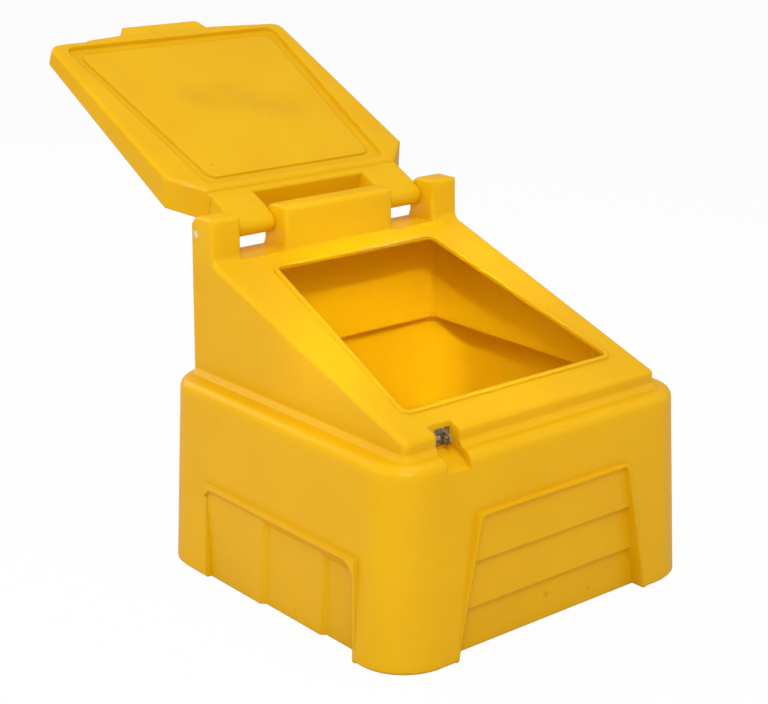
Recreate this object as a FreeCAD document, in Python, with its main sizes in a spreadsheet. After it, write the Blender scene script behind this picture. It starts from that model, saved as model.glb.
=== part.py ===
import FreeCAD, Part
import Sketcher
import os
import re

# Grit salt bin, 200 litre class, rotomoulded polyethylene, millimetres.
# Frame: X to the right of someone facing the bin's front, Y from the front to the hinge side, Z up.
# The origin is the centre of the footprint on the ground.

doc = FreeCAD.newDocument("grit_salt_bin")
dims = doc.addObject("Spreadsheet::Sheet", "dims")

SIZES = {
    # how far a cutting shape reaches past what it cuts
    "cut_margin": 50,
    # base: a flared tub with a ledge round its top
    "base_width": 740,
    "base_depth": 730,
    "ledge_height": 366,
    "base_draft": 0.0515,
    "base_corner": 100,
    "shoulder_round": 20,
    "foot_bevel": 5,
    "wall": 5,
    # upper part: a narrower wedge with a sloping top
    "upper_width": 603,
    "upper_front": 305,
    "upper_back": 323,
    "upper_draft": 0.011,
    "upper_corner": 12,
    "skirt_rise": 10,
    "skirt_back": 3,
    "slope_front_height": 397,
    "slope_back_height": 589,
    # hinge side: two ears and a centre block with a shelf between them
    "ear_front": 247,
    "ear_top": 671,
    "ear_inner": 232,
    "ear_foot": 18,
    "block_half": 130.5,
    "shelf_height": 589,
    "back_round": 30,
    "upper_round": 10,
    "axis_back": 299,
    "axis_height": 637,
    # opening in the slope and the raised lip round it
    "opening_back": 199,
    "opening_front": -236,
    "opening_half_back": 189,
    "opening_half_front": 244,
    "opening_corner": 12,
    "lip_width": 9,
    "lip_rise": 4,
    # recesses in the sides: three upright panels, each deeper than the one behind it
    "side_pad_out": 369,
    "side_pad_top": 191,
    "side_pad_back": 197,
    "side_pad_front": -253,
    "side_turn_back": 43,
    "side_turn_front": -127,
    "side_turn_lean": 30,
    "side_turn_slant": 0.85,
    "side_depth_foot": 12.7,
    "side_depth_head": 8,
    "side_step_foot": 8.6,
    "side_step_head": 6.5,
    "side_recess_top": 184,
    "side_recess_back": 200,
    "side_recess_front": -246,
    "side_corner": 32,
    "side_ceiling": 1.3,
    # recesses in the front and back: three shelving panels, each deeper than the one above it
    "front_pad_out": 364,
    "front_pad_top": 260,
    "front_half_head": 176.5,
    "front_half_foot": 230.5,
    "front_recess_top": 257,
    "front_line_upper": 170,
    "front_line_lower": 81,
    "front_depth": 11,
    "front_step": 9.5,
    "front_corner": 14,
    "front_ceiling": 0.7,
    "pad_margin": 5,
    # pocket for the padlock staple, cut down through the ledge
    "pocket_centre": -207,
    "pocket_half": 26,
    "pocket_skew": 10,
    "pocket_deep": 25,
    "pocket_floor": 360,
    "pocket_fall": 16,
    # lid: a double-walled panel, in its own frame with the hinge axis as X and its underside up
    "lid_half": 287.5,
    "lid_reach": 621,
    "lid_reach_side": 609,
    "lid_bow_half": 110,
    "lid_under": 28,
    "lid_centre": 23.7,
    "neck_under": 22.5,
    "lid_top_front": -5,
    "lid_top_back": -28,
    "lid_shoulder": 138,
    "lid_neck": 82,
    "lid_neck_half": 229,
    "lid_notch": 66.5,
    "lid_lean": 20,
    "notch_lean": 5.5,
    "lid_wall": 4.5,
    "lid_corner": 25,
    "lid_edge_round": 8,
    "tab_corner": 12,
    "arm_edge_round": 5,
    "tab_half_root": 106,
    "tab_half_tip": 94,
    "tab_reach": 26,
    "tab_thick": 20,
    "arm_inner": 134,
    "arm_outer": 228,
    "barrel_inner": 133,
    "barrel_outer": 230,
    "barrel_radius": 20,
    "rod_radius": 6,
    "bore_radius": 6.05,
    "groove_deep": 8,
    "groove_back": 102,
    "groove_front": 592,
    "groove_width": 21,
    "groove_half_back": 215,
    "groove_half_front": 258,
    "groove_corner": 20,
    "dip_centre": -214,
    "dip_half": 22,
    "dip_face": 604.5,
    "lid_open_angle": 25.67,
    # hinge rod and its end caps
    "rod_half": 295.3,
    "cap_radius": 7.8,
    "cap_start": 295.4,
    "cap_length": 3,
    "cap_seat_radius": 7.9,
    # padlock staple riveted to the back wall of the pocket
    "staple_centre": -200,
    "plate_width": 32,
    "plate_low": 366,
    "plate_high": 396,
    "plate_thick": 2.5,
    "backing_thick": 1.5,
    "eye_reach": 24,
    "eye_low": 370,
    "eye_high": 390,
    "eye_thick": 3,
    "eye_hole": 6,
    "eye_hole_back": 10,
    "eye_corner": 8,
    "rivet_across": 10,
    "rivet_radius": 2.4,
    "rivet_hole": 2.45,
    "rivet_head": 4.6,
    "rivet_head_thick": 1.6,
    # hasp: a leaf on the lid's outer skin and a bent strap that drops over the staple
    "hasp_centre": -205,
    "hasp_along": 611,
    "hasp_under": -10,
    "hasp_rest": 116.9,
    "knuckle_radius": 4,
    "knuckle_half": 6,
    "knuckle_gap": 0.4,
    "hasp_pin_radius": 2,
    "hasp_pin_bore": 2.05,
    "leaf_half": 12,
    "leaf_corner": 4,
    "leaf_length": 36,
    "leaf_thick": 2,
    "leaf_rivet": 24,
    "leaf_rivet_across": 7,
    "leaf_rivet_head": 4,
    "leaf_rivet_rise": 1.2,
    "leaf_rivet_tail": 1.5,
    "strap_half": 12,
    "strap_corner": 6,
    "strap_thick": 2.5,
    "strap_leg": 45,
    "strap_foot": 41,
    "strap_bend": 6,
    "strap_slot_from": 9,
    "strap_slot_to": 36,
    "strap_slot_half": 3,
}

for row, (name, amount) in enumerate(SIZES.items(), start=1):
    dims.set("A" + str(row), name)
    dims.set("B" + str(row), str(amount))
    dims.setAlias("B" + str(row), name)
doc.recompute()

NEAR = 0.01


def link(text):
    """Expression text in which every size's name points at the sheet."""
    return re.sub(r"[a-z][a-z_]+", lambda m: "dims." + m.group() if m.group() in SIZES else m.group(), text)


def size(text):
    """The value of an expression on the sheet, as a plain number."""
    return float(dims.evalExpression(text))


def new_body(name):
    return doc.addObject("PartDesign::Body", name)


def new_sketch(body, name, role, height="0"):
    """A sketch on one of the body's own origin planes, moved off it along its normal."""
    sketch = body.newObject("Sketcher::SketchObject", name)
    plane = [item for item in body.Origin.OriginFeatures if item.Role == role][0]
    sketch.AttachmentSupport = [(plane, "")]
    sketch.MapMode = "FlatFace"
    if height != "0":
        sketch.setExpression("AttachmentOffset.Base.z", link(height))
    return sketch


def hold(sketch, kind, axis, line, text):
    """Ties the start of a line to the origin at the distance that an expression gives."""
    value = size(text)
    if abs(value) < NEAR:
        sketch.addConstraint(Sketcher.Constraint("PointOnObject", line, 1, axis))
    elif value > 0:
        index = sketch.addConstraint(Sketcher.Constraint(kind, -1, 1, line, 1, value))
        sketch.setExpression("Constraints[%d]" % index, link(text))
    else:
        index = sketch.addConstraint(Sketcher.Constraint(kind, line, 1, -1, 1, -value))
        sketch.setExpression("Constraints[%d]" % index, link("-(" + text + ")"))


def polygon(sketch, corners, arcs=None):
    """A closed outline through corners that are pairs of expressions.

    The side after a corner named in arcs is an arc: its radius and the two expressions of its centre.
    """
    arcs = arcs or {}
    arc_of = {}
    first = sketch.GeometryCount
    count = len(corners)
    spots = [FreeCAD.Vector(size(x), size(y), 0) for x, y in corners]
    for index in range(count):
        start, end = spots[index], spots[(index + 1) % count]
        if index in arcs:
            radius, x, y = arcs[index]
            centre = FreeCAD.Vector(size(x), size(y), 0)
            out = (start + end) * 0.5 - centre
            middle = centre + out * (size(radius) / out.Length)
            arc_of[sketch.addGeometry(Part.Arc(start, middle, end))] = radius
        else:
            sketch.addGeometry(Part.LineSegment(start, end))
    for index in range(count):
        following = first + (index + 1) % count
        sketch.addConstraint(Sketcher.Constraint("Coincident", first + index, 2, following, 1))
    for index, (x, y) in enumerate(corners):
        hold(sketch, "DistanceX", -2, first + index, x)
        hold(sketch, "DistanceY", -1, first + index, y)
    for index, radius in arc_of.items():
        tie = sketch.addConstraint(Sketcher.Constraint("Radius", index, size(radius)))
        sketch.setExpression("Constraints[%d]" % tie, link(radius))


def rectangle(sketch, left, right, low, high):
    polygon(sketch, [(left, low), (right, low), (right, high), (left, high)])


def rounded_box(sketch, half, front, back, radius):
    """A rectangle with rounded corners, centred across and reaching a distance to the front and the back."""
    left, right = "(%s - %s)" % (radius, half), "(%s - %s)" % (half, radius)
    low, high = "(%s - %s)" % (radius, front), "(%s - %s)" % (back, radius)
    polygon(sketch, [(left, "-" + front), (right, "-" + front), (half, low), (half, high),
                     (right, back), (left, back), ("-" + half, high), ("-" + half, low)],
            {1: (radius, right, low), 3: (radius, right, high), 5: (radius, left, high), 7: (radius, left, low)})


def circle(sketch, x, y, radius):
    index = sketch.addGeometry(Part.Circle(FreeCAD.Vector(size(x), size(y), 0), FreeCAD.Vector(0, 0, 1), size(radius)))
    for kind, axis, text in (("DistanceX", -2, x), ("DistanceY", -1, y)):
        value = size(text)
        if abs(value) < NEAR:
            sketch.addConstraint(Sketcher.Constraint("PointOnObject", index, 3, axis))
        elif value > 0:
            tie = sketch.addConstraint(Sketcher.Constraint(kind, -1, 1, index, 3, value))
            sketch.setExpression("Constraints[%d]" % tie, link(text))
        else:
            tie = sketch.addConstraint(Sketcher.Constraint(kind, index, 3, -1, 1, -value))
            sketch.setExpression("Constraints[%d]" % tie, link("-(" + text + ")"))
    tie = sketch.addConstraint(Sketcher.Constraint("Radius", index, size(radius)))
    sketch.setExpression("Constraints[%d]" % tie, link(radius))


def loft(body, name, lower, upper):
    feature = body.newObject("PartDesign::AdditiveLoft", name)
    feature.Profile = lower
    feature.Sections = [upper]
    feature.Ruled = True
    return feature


def pad(body, name, sketch, length, middle=True):
    feature = body.newObject("PartDesign::Pad", name)
    feature.Profile = sketch
    feature.setExpression("Length", link(length))
    feature.Midplane = middle
    return feature


def pocket(body, name, sketch):
    """A cut right through the body, both ways from its sketch."""
    feature = body.newObject("PartDesign::Pocket", name)
    feature.Profile = sketch
    feature.Type = "ThroughAll"
    feature.Midplane = True
    return feature


def pad_cut(body, name, sketch, length):
    """A cut of a set length, centred on its sketch."""
    feature = body.newObject("PartDesign::Pocket", name)
    feature.Profile = sketch
    feature.setExpression("Length", link(length))
    feature.Midplane = True
    return feature


def rounded(body, name, radius, chosen, kind="PartDesign::Fillet", key="Radius"):
    """A fillet on the edges of the body so far whose box passes a test."""
    doc.recompute()
    before = body.Tip
    names = ["Edge%d" % (i + 1) for i, edge in enumerate(before.Shape.Edges) if chosen(edge.BoundBox)]
    if not names:
        raise SystemExit(name + " finds no edges")
    feature = body.newObject(kind, name)
    feature.Base = (before, names)
    feature.setExpression(key, link(radius))
    doc.recompute()
    if not feature.Shape.isValid() or "Invalid" in feature.State:
        raise SystemExit(name + " fails")
    return feature


def bevelled(body, name, width, chosen):
    return rounded(body, name, width, chosen, "PartDesign::Chamfer", "Size")


def near(value, text, slack=0.5):
    return abs(value - size(text)) < slack


def flat_at(box, text, slack=0.5):
    """Whether an edge lies in the level plane at a height."""
    return near(box.ZMin, text, slack) and near(box.ZMax, text, slack)


# Half width and half depth of the flared tub and of the upper part at a height

def tub_x(height, inset="0"):
    return "(base_width / 2 - (%s) * base_draft - (%s))" % (height, inset)


def tub_y(height, inset="0"):
    return "(base_depth / 2 - (%s) * base_draft - (%s))" % (height, inset)


def upper_x(height, inset="0"):
    return "(upper_width / 2 - ((%s) - ledge_height) * upper_draft - (%s))" % (height, inset)


def upper_y(side, height, inset="0"):
    return "(%s - ((%s) - ledge_height) * upper_draft - (%s))" % (side, height, inset)


SLOPE = "((slope_back_height - slope_front_height) / (ear_front + upper_front))"


def slope_z(y, drop="0"):
    """Height of the sloping top at a depth, less a drop measured square to it."""
    return "(slope_front_height + ((%s) + upper_front) * %s - (%s) * sqrt(1 + %s ^ 2))" % (y, SLOPE, drop, SLOPE)


def frustum(body, name, bottom, top, outline, draft):
    """A block between two heights over a rounded outline, all its walls leaning in by a draft."""
    foot = new_sketch(body, name + "_foot", "XY_Plane", bottom)
    outline(foot)
    walls = pad(body, name, foot, "(%s) - (%s)" % (top, bottom), middle=False)
    walls.setExpression("TaperAngle", link("-atan(%s)" % draft))
    return walls


def wedge(body, name, bottom, top, half, front, back):
    """A block between two heights whose four flat walls lean, each a function of the height."""
    feature = body.newObject("PartDesign::AdditiveWedge", name)
    spans = {
        "Ymin": bottom, "Ymax": top,
        "Xmin": "-" + half(bottom), "Xmax": half(bottom),
        "X2min": "-" + half(top), "X2max": half(top),
        "Zmin": "-" + back(bottom), "Zmax": front(bottom),
        "Z2min": "-" + back(top), "Z2max": front(top),
    }
    for key in ("Ymin", "Xmin", "X2min", "Zmin", "Z2min", "Ymax", "Xmax", "X2max", "Zmax", "Z2max"):
        setattr(feature, key, size(spans[key]))
        feature.setExpression(key, link(spans[key]))
    feature.Placement = FreeCAD.Placement(FreeCAD.Vector(), FreeCAD.Rotation(FreeCAD.Vector(1, 0, 0), 90))


def above(body, name, corners, arcs=None):
    """Cuts away all that lies above a line in the side view, given from front to back."""
    sketch = new_sketch(body, body.Name + name, "YZ_Plane")
    polygon(sketch, corners + [(corners[-1][0], "ear_top + cut_margin"), (corners[0][0], "ear_top + cut_margin")], arcs)
    pocket(body, body.Name + name + "_cut", sketch)


AHEAD = "(-upper_front - 200)"
BEHIND = "(upper_back + 100)"


def tub_outside():
    body = new_body("tub_outside")
    frustum(body, "tub", "0", "ledge_height",
            lambda sketch: rounded_box(sketch, tub_x("0"), tub_y("0"), tub_y("0"), "base_corner"), "base_draft")
    rounded(body, "shoulder", "shoulder_round", lambda box: flat_at(box, "ledge_height"))
    bevelled(body, "foot_edge", "foot_bevel", lambda box: flat_at(box, "0"))
    side = new_sketch(body, "side_pad_outline", "YZ_Plane")
    rectangle(side, "side_pad_front", "side_pad_back", "1", "side_pad_top")
    pad(body, "side_pad", side, "2 * side_pad_out")
    front = new_sketch(body, "front_pad_outline", "XZ_Plane")
    head, foot = "(front_half_head + pad_margin)", "(front_half_foot + pad_margin)"
    polygon(front, [("-" + foot, "1"), (foot, "1"), (head, "front_pad_top"), ("-" + head, "front_pad_top")])
    pad(body, "front_pad", front, "2 * front_pad_out")
    return body


def skirt():
    """The bevelled foot of the upper walls, which eases them out onto the ledge."""
    body = new_body("skirt")
    low = "(ledge_height - 1)"
    frustum(body, "skirt_walls", low, "ledge_height + skirt_rise",
            lambda sketch: rounded_box(sketch, upper_x(low, "-skirt_rise - 1"), upper_y("upper_front", low, "-skirt_rise - 1"),
                                       upper_y("upper_back", low, "-skirt_back"), "(upper_corner + skirt_rise)"), "1")
    return body


def along_x(box):
    return box.XLength > 20 and box.YLength < 1 and box.ZLength < 1


def upper_outside():
    """The upper part: near-upright walls under a sloping top, with two ears and a block behind."""
    body = new_body("upper_outside")
    wedge(body, "upper", "(ledge_height - 40)", "ear_top", upper_x,
          lambda height: upper_y("upper_front", height), lambda height: upper_y("upper_back", height))
    rounded(body, "upper_corners", "upper_corner", lambda box: box.ZLength > 100)
    run = "(ear_foot * tan(45 deg - atan(%s) / 2))" % SLOPE
    start = "(ear_front - %s * cos(atan(%s)))" % (run, SLOPE)
    rise = "(%s + %s)" % (slope_z("ear_front"), run)
    above(body, "_slope", [(AHEAD, slope_z(AHEAD)), (start, slope_z(start)), ("ear_front", rise), ("ear_front", "ear_top + 20")],
          {1: ("ear_foot", "(ear_front - ear_foot)", rise)})
    crease = new_sketch(body, "crease_side", "YZ_Plane")
    polygon(crease, [(start, slope_z(start)), ("ear_front", slope_z("ear_front")), ("ear_front", rise), (start, rise)])
    pad_cut(body, "crease", crease, "2 * (block_half + 20)")
    centre = "(%s - back_round)" % upper_y("upper_back", "(ear_top - back_round)")
    crown = new_sketch(body, "crown_side", "YZ_Plane")
    polygon(crown, [(centre, "ear_top"), (centre, "ear_top + cut_margin"), (BEHIND, "ear_top + cut_margin"), (BEHIND, "(ear_top - back_round)"),
                    (centre + " + back_round", "(ear_top - back_round)")],
            {4: ("back_round", centre, "(ear_top - back_round)")})
    pocket(body, "crown", crown)
    for side, sign in (("left", "-"), ("right", "")):
        gap = new_sketch(body, "gap_" + side, "XZ_Plane")
        inner, outer = sign + "block_half", sign + "ear_inner"
        polygon(gap, [(inner, "shelf_height"), (outer, "shelf_height"), (outer, "ear_top + cut_margin"), (inner, "ear_top + cut_margin")])
        pocket(body, "shelf_" + side, gap)

    def on_ear_face(box):
        return near(box.YMax, "ear_front") and near(box.YMin, "ear_front") and box.ZMax > size("shelf_height") + 30

    def on_slope_edge(box):
        side = box.YLength > 400 and box.ZLength > 100
        front = along_x(box) and box.YMax < -200 and box.ZMin > size("ledge_height")
        return side or front

    rounded(body, "upper_edges", "upper_round", lambda box: on_slope_edge(box) or on_ear_face(box))
    return body


def recess_side(name, grow):
    """One side recess: three upright panels, each deeper than the one behind it, under a shelving ceiling."""
    depths = new_body(name + "_depths")
    outlines = []
    for part, height, depth, step, lean in (
            ("foot", "(-10)", "side_depth_foot", "side_step_foot", "0"),
            ("head", "(side_pad_top + 20)", "side_depth_head", "side_step_head", "side_turn_lean")):
        sketch = new_sketch(depths, name + "_" + part, "XY_Plane", height)
        faces = ["-(side_pad_out - %s - %d * %s - %s)" % (depth, i, step, grow) for i in range(3)]
        turns = ["(%s - %s + %s)" % (turn, lean, grow) for turn in ("side_turn_back", "side_turn_front")]
        ends = ["(%s - side_turn_slant * %s)" % (turn, step) for turn in turns]
        out, back, front = "-(side_pad_out + 40)", "(side_pad_back + 20)", "(side_pad_front - 30)"
        polygon(sketch, [(out, back), (faces[0], back), (faces[0], turns[0]), (faces[1], ends[0]),
                         (faces[1], turns[1]), (faces[2], ends[1]), (faces[2], front), (out, front)])
        outlines.append(sketch)
    loft(depths, name + "_panels", *outlines)
    outline = new_body(name + "_outline")
    sketch = new_sketch(outline, name + "_arch", "YZ_Plane")
    rectangle(sketch, "(side_recess_front - %s)" % grow, "(side_recess_back + %s)" % grow,
              "(-20)", "(side_recess_top + %s)" % grow)
    pad(outline, name + "_arch_pad", sketch, "base_width + 4 * cut_margin")
    rounded(outline, name + "_arch_corners", "side_corner + %s" % grow,
            lambda box: box.XLength > 500 and box.ZMin > 100)
    room = new_body(name + "_room")
    sketch = new_sketch(room, name + "_ceiling", "XZ_Plane")
    ceiling = "(side_recess_top + %s * sqrt(1 + side_ceiling ^ 2))" % grow
    polygon(sketch, [("-(side_pad_out + 20)", "(-20)"), ("-(side_pad_out - 50)", "(-20)"),
                     ("-(side_pad_out - 50)", ceiling + " - 50 * side_ceiling"),
                     ("-(side_pad_out + 20)", ceiling + " + 20 * side_ceiling")])
    pad(room, name + "_room_pad", sketch, "base_depth + 4 * cut_margin")
    return common(name, depths, outline, room)


def recess_front(name, grow):
    """The front recess: three shelving panels, each deeper than the one above it, under a shelving ceiling."""
    depths = new_body(name + "_depths")
    sketch = new_sketch(depths, name + "_side", "YZ_Plane")
    faces = ["-(front_pad_out - front_depth - %d * front_step - %s)" % (i, grow) for i in range(3)]
    lines = ["(front_line_upper + %s)" % grow, "(front_line_lower + %s)" % grow]
    out = "-(front_pad_out + 60)"
    ceiling = "(front_recess_top + %s * sqrt(1 + front_ceiling ^ 2))" % grow
    polygon(sketch, [(out, "(-20)"), (faces[2], "(-20)"), (faces[2], lines[1] + " - front_step / 2"),
                     (faces[1], lines[1]), (faces[1], lines[0] + " - front_step / 2"), (faces[0], lines[0]),
                     (faces[0], "%s - (front_depth + %s) * front_ceiling" % (ceiling, grow)),
                     (out, ceiling + " + 60 * front_ceiling")])
    pad(depths, name + "_panels", sketch, "base_width")
    outline = new_body(name + "_outline")
    sketch = new_sketch(outline, name + "_arch", "XZ_Plane")
    lean = "((front_half_foot - front_half_head) / front_recess_top)"
    head = "(front_half_head + %s)" % grow
    foot = "(front_half_foot + %s + 20 * %s)" % (grow, lean)
    top = "(front_recess_top + %s)" % grow
    polygon(sketch, [("-" + foot, "(-20)"), (foot, "(-20)"), (head, top), ("-" + head, top)])
    pad(outline, name + "_arch_pad", sketch, "base_depth + 4 * cut_margin")
    rounded(outline, name + "_arch_corners", "front_corner + %s" % grow,
            lambda box: box.YLength > 500 and box.ZMin > 100)
    return common(name, depths, outline)


def staple_pocket(name, grow):
    """The pocket for the staple: back wall upright, floor falling forward, cheeks leading off to the left."""
    profile = new_body(name + "_profile")
    sketch = new_sketch(profile, name + "_side", "YZ_Plane")
    back = "-(upper_front - pocket_deep - %s)" % grow
    out = "-(base_depth / 2 + 30)"
    floor = "(pocket_floor - %s)" % grow
    fall = "(pocket_floor - %s - pocket_fall * 2)" % grow
    head = "(slope_front_height + 60)"
    polygon(sketch, [(out, fall), (back, floor), (back, head), (out, head)])
    pad(profile, name + "_profile_pad", sketch, "base_width")
    plan = new_body(name + "_plan")
    sketch = new_sketch(plan, name + "_outline", "XY_Plane", "(pocket_floor - 60)")
    left, right = "(pocket_centre - pocket_half - %s)" % grow, "(pocket_centre + pocket_half + %s)" % grow
    turn, end = "-upper_front", "-(base_depth / 2 + 20)"
    skew = " - pocket_skew * (base_depth / 2 + 20 - upper_front) / (base_depth / 2 - 20 - upper_front)"
    polygon(sketch, [(left, back), (left, turn), (left + skew, end), (right + skew, end), (right, turn), (right, back)])
    pad(plan, name + "_plan_pad", sketch, "200", middle=False)
    return common(name, profile, plan)


def common(name, *things):
    result = doc.addObject("Part::MultiCommon", name)
    result.Shapes = list(things)
    return result


def joined(name, *things):
    result = doc.addObject("Part::MultiFuse", name)
    result.Shapes = list(things)
    return result


def cut(name, base, tool):
    result = doc.addObject("Part::Cut", name)
    result.Base = base
    result.Tool = tool
    return result


def mirrored(name, source, normal):
    result = doc.addObject("Part::Mirroring", name)
    result.Source = source
    result.Normal = normal
    return result


def on_slope(body):
    """Lays a body's own XY plane on the sloping top, its Y axis up the slope from the front edge."""
    angle = "atan(%s)" % SLOPE
    body.Placement = FreeCAD.Placement(FreeCAD.Vector(0, -size("upper_front"), size("slope_front_height")),
                                       FreeCAD.Rotation(FreeCAD.Vector(1, 0, 0), size(angle)))
    body.setExpression("Placement.Base.y", link("-upper_front"))
    body.setExpression("Placement.Base.z", link("slope_front_height"))
    body.setExpression("Placement.Rotation.Angle", link(angle))


def slope_window(name, grow, low, high, corner):
    """A block square to the slope with the outline of the opening, widened by a margin."""
    body = new_body(name)
    sketch = new_sketch(body, name + "_outline", "XY_Plane", low)
    stretch = "sqrt(1 + %s ^ 2)" % SLOPE
    front = "((opening_front + upper_front) * %s - %s)" % (stretch, grow)
    back = "((opening_back + upper_front) * %s + %s)" % (stretch, grow)
    polygon(sketch, [("-(opening_half_front + %s)" % grow, front), ("(opening_half_front + %s)" % grow, front),
                     ("(opening_half_back + %s)" % grow, back), ("-(opening_half_back + %s)" % grow, back)])
    pad(body, name + "_pad", sketch, "(%s) - (%s)" % (high, low), middle=False)
    rounded(body, name + "_corners", corner, lambda box: box.XLength < 2 and box.YLength > 0.1 and box.ZLength > 4
            or box.XLength < 30 and box.YLength < 30)
    on_slope(body)
    return body


def bore(name, radius, length):
    """A rod along the hinge axis."""
    result = doc.addObject("Part::Cylinder", name)
    result.setExpression("Radius", link(radius))
    result.setExpression("Height", link("2 * (%s)" % length))
    result.Placement = FreeCAD.Placement(FreeCAD.Vector(-size(length), size("axis_back"), size("axis_height")),
                                         FreeCAD.Rotation(FreeCAD.Vector(0, 1, 0), 90))
    result.setExpression("Placement.Base.x", link("-(%s)" % length))
    result.setExpression("Placement.Base.y", link("axis_back"))
    result.setExpression("Placement.Base.z", link("axis_height"))
    return result


def cap_seats():
    """The two shallow seats in the ears' outer faces that the rod's end caps are pressed into."""
    seats = []
    for side, start, end in (("left", "-400", "-cap_start"), ("right", "cap_start", "400")):
        seat = rod("cap_seat_" + side, "cap_seat_radius", start, end)
        seat.setExpression("Placement.Base.y", link("axis_back"))
        seat.setExpression("Placement.Base.z", link("axis_height"))
        seats.append(seat)
    return seats


def bin_inside():
    """The hollow of the bin, one wall in from the outside, with the recesses standing into it.

    The ears and the block above the shelf are filled, as their walls meet there.
    """
    tub = new_body("tub_inside")
    wedge(tub, "tub_hollow", "(wall + 1)", "(ledge_height - wall)", lambda height: tub_x(height, "wall"),
          lambda height: tub_y(height, "wall"), lambda height: tub_y(height, "wall"))
    rounded(tub, "tub_hollow_corners", "base_corner - 2 * wall", lambda box: box.ZLength > 100)
    bevelled(tub, "tub_hollow_shoulder", "shoulder_round - wall", lambda box: flat_at(box, "(ledge_height - wall)"))
    upper = new_body("upper_inside")
    wedge(upper, "upper_hollow", "(ledge_height - 40)", "ear_top", lambda height: upper_x(height, "wall"),
          lambda height: upper_y("upper_front", height, "wall"), lambda height: upper_y("upper_back", height, "wall"))
    rounded(upper, "upper_hollow_corners", "upper_corner - wall", lambda box: box.ZLength > 100)
    above(upper, "_slope", [(AHEAD, slope_z(AHEAD, "wall")), ("ear_front", slope_z("ear_front", "wall")),
                            (BEHIND, slope_z("ear_front", "wall"))])
    hollow = joined("hollow", tub, upper)
    side = recess_side("side_bulge", "wall")
    front = recess_front("front_bulge", "wall")
    bulges = joined("bulges", side, mirrored("side_bulge_right", side, (1, 0, 0)),
                    front, mirrored("front_bulge_back", front, (0, 1, 0)), staple_pocket("pocket_bulge", "wall"))
    return cut("cavity", hollow, bulges)


def bin_shell():
    side = recess_side("side_recess", "0")
    front = recess_front("front_recess", "0")
    outside = joined("outside", tub_outside(), upper_outside(), skirt(),
                     slope_window("lip", "lip_width", "(-3)", "lip_rise", "opening_corner + lip_width"))
    cuts = joined("cuts", side, mirrored("side_recess_right", side, (1, 0, 0)),
                  front, mirrored("front_recess_back", front, (0, 1, 0)), staple_pocket("pocket", "0"),
                  bin_inside(), slope_window("opening", "0", "(-30)", "30", "opening_corner"),
                  bore("rod_bore", "bore_radius", "400"), *cap_seats(),
                  staple_rivets("wall_holes", "rivet_hole", "rivet_hole"))
    return cut("bin_body", outside, cuts)


def on_lid(body, along="0", under="0", across="0", turn="0 deg"):
    """Places a body in the lid's frame, hinge axis as X and underside up, at the lid's open angle."""
    angle = "lid_open_angle * 1 deg + (%s)" % turn
    spot = {
        "x": across,
        "y": "axis_back + (%s) * cos(lid_open_angle * 1 deg) - (%s) * sin(lid_open_angle * 1 deg)" % (along, under),
        "z": "axis_height + (%s) * sin(lid_open_angle * 1 deg) + (%s) * cos(lid_open_angle * 1 deg)" % (along, under),
    }
    body.Placement = FreeCAD.Placement(FreeCAD.Vector(size(spot["x"]), size(spot["y"]), size(spot["z"])),
                                       FreeCAD.Rotation(FreeCAD.Vector(1, 0, 0), size(angle)))
    for key, text in spot.items():
        body.setExpression("Placement.Base." + key, link(text))
    body.setExpression("Placement.Rotation.Angle", link(angle))


def in_lid(body, along="0", under="0", across="0", turn="0 deg"):
    """Places a body in the lid's own frame, before the lid itself is placed."""
    body.Placement = FreeCAD.Placement(FreeCAD.Vector(size(across), size(along), size(under)),
                                       FreeCAD.Rotation(FreeCAD.Vector(1, 0, 0), size(turn)))
    for key, text in (("x", across), ("y", along), ("z", under)):
        body.setExpression("Placement.Base." + key, link(text))
    body.setExpression("Placement.Rotation.Angle", link(turn))


# Slope of the lid's outer skin against the underside
LEAN = "((lid_top_front - lid_top_back) / (lid_reach - lid_shoulder))"


def lid_top(along):
    """Height of the lid's outer skin in the lid's frame: it falls away towards the hinge."""
    return "(lid_top_back + %s * ((%s) - lid_shoulder))" % (LEAN, along)


# The hasp's leaf lies on the outer skin, this far from the pin's axis
LEAF_SEAT = "((%s - hasp_under) * cos(atan(%s)))" % (lid_top("hasp_along"), LEAN)


def lid_plan(sketch, inset):
    """The lid's outline: a bowed front, rounded front corners, and shoulders that narrow to the neck."""
    half, neck = "(lid_half - %s)" % inset, "(lid_neck_half - %s)" % inset
    front, side = "(lid_reach - %s)" % inset, "(lid_reach_side - %s)" % inset
    shoulder, root = "(lid_shoulder + %s * 0.7)" % inset, "(lid_neck + %s)" % inset
    radius = "(lid_corner - %s)" % inset
    turn, centre = "(%s - %s)" % (half, radius), "(%s - %s)" % (side, radius)
    polygon(sketch, [("-lid_bow_half", front), ("-" + turn, side), ("-" + half, centre), ("-" + half, shoulder),
                     ("-" + neck, root), (neck, root), (half, shoulder), (half, centre), (turn, side),
                     ("lid_bow_half", front)],
            {1: (radius, "-" + turn, centre), 7: (radius, turn, centre)})


def lid_skin(body, inset):
    """Cuts a body off at the lid's outer skin, moved inwards by an inset."""
    side = new_sketch(body, body.Name + "_side", "YZ_Plane")
    back, ahead = "(-60)", "(lid_reach + 80)"
    polygon(side, [(back, "(%s + %s)" % (lid_top("lid_shoulder"), inset)),
                   ("lid_shoulder", "(%s + %s)" % (lid_top("lid_shoulder"), inset)),
                   (ahead, "(%s + %s)" % (lid_top(ahead), inset)), (ahead, "-80"), (back, "-80")])
    pocket(body, body.Name + "_skin", side)


def lid_panel(name, inset, high):
    """The deep panel between the outer skin and a level near the underside."""
    body = new_body(name)
    low = "(lid_top_back - 4)"
    sketch = new_sketch(body, name + "_outline", "XY_Plane", low)
    lid_plan(sketch, inset)
    pad(body, name + "_depth", sketch, "(%s) - (%s)" % (high, low), middle=False)
    lid_skin(body, inset)
    return body


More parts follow.
